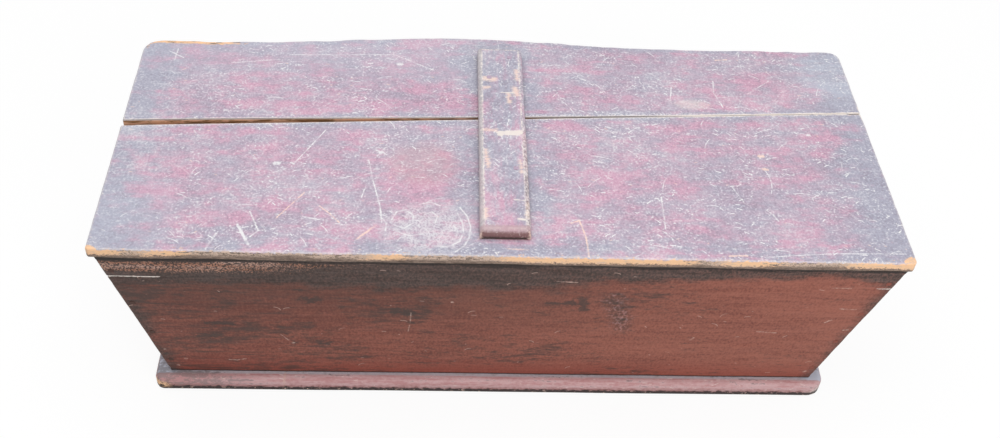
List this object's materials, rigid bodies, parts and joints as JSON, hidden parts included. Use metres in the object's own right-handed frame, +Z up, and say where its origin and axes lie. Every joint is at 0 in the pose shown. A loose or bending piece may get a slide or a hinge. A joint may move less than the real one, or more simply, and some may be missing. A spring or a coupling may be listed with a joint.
{
  "type": "dough box",
  "caption": "Long flared board box on a round-nosed base, closed by a loose two-board lid with a batten across its top, for raising and storing dough or dry goods.",
  "frame": {"origin": "centre of the part's box in plan, on the surface that the base board stands on", "axes": "+X along the box to the right, +Y from the front wall to the back wall, +Z up"},
  "size_m": [1.0156, 0.4442, 0.3339],
  "materials": {
    "wall_paint": "worn red-brown paint",
    "base_paint": "worn dusky pink paint",
    "lid_paint": "faded, scratched lilac-red paint",
    "bare_wood": "bare aged pine",
    "nail_iron": "rust-dark iron"
  },
  "bodies": {
    "box": {"base_board": "base_paint", "front_wall": "wall_paint", "back_wall": "wall_paint", "left_end_wall": "wall_paint", "right_end_wall": "wall_paint", "front_left_corner_nail_1": "nail_iron", "front_left_corner_nail_2": "nail_iron", "front_left_corner_nail_3": "nail_iron", "front_left_corner_nail_4": "nail_iron", "front_right_corner_nail_1": "nail_iron", "front_right_corner_nail_2": "nail_iron", "front_right_corner_nail_3": "nail_iron", "front_right_corner_nail_4": "nail_iron", "back_left_corner_nail_1": "nail_iron", "back_left_corner_nail_2": "nail_iron", "back_left_corner_nail_3": "nail_iron", "back_left_corner_nail_4": "nail_iron", "back_right_corner_nail_1": "nail_iron", "back_right_corner_nail_2": "nail_iron", "back_right_corner_nail_3": "nail_iron", "back_right_corner_nail_4": "nail_iron", "front_base_nail_1": "nail_iron", "front_base_nail_2": "nail_iron", "front_base_nail_3": "nail_iron", "front_base_nail_4": "nail_iron", "back_base_nail_1": "nail_iron", "back_base_nail_2": "nail_iron", "back_base_nail_3": "nail_iron", "back_base_nail_4": "nail_iron", "left_base_nail_1": "nail_iron", "left_base_nail_2": "nail_iron", "right_base_nail_1": "nail_iron", "right_base_nail_2": "nail_iron"},
    "lid": {"lid_front_board": "lid_paint", "lid_back_board": "lid_paint", "top_batten": "lid_paint", "left_cleat": "bare_wood", "right_cleat": "bare_wood", "batten_nail_1": "nail_iron", "batten_nail_2": "nail_iron", "batten_nail_3": "nail_iron", "batten_nail_4": "nail_iron", "batten_nail_5": "nail_iron", "batten_nail_6": "nail_iron", "left_cleat_nail_1": "nail_iron", "left_cleat_nail_2": "nail_iron", "left_cleat_nail_3": "nail_iron", "left_cleat_nail_4": "nail_iron", "right_cleat_nail_1": "nail_iron", "right_cleat_nail_2": "nail_iron", "right_cleat_nail_3": "nail_iron", "right_cleat_nail_4": "nail_iron"}
  },
  "joints": [
    {"name": "lid_lift", "type": "slide", "parent": "box", "child": "lid", "axis": [0, 0, 1], "range_m": [0, 0.35]}
  ]
}
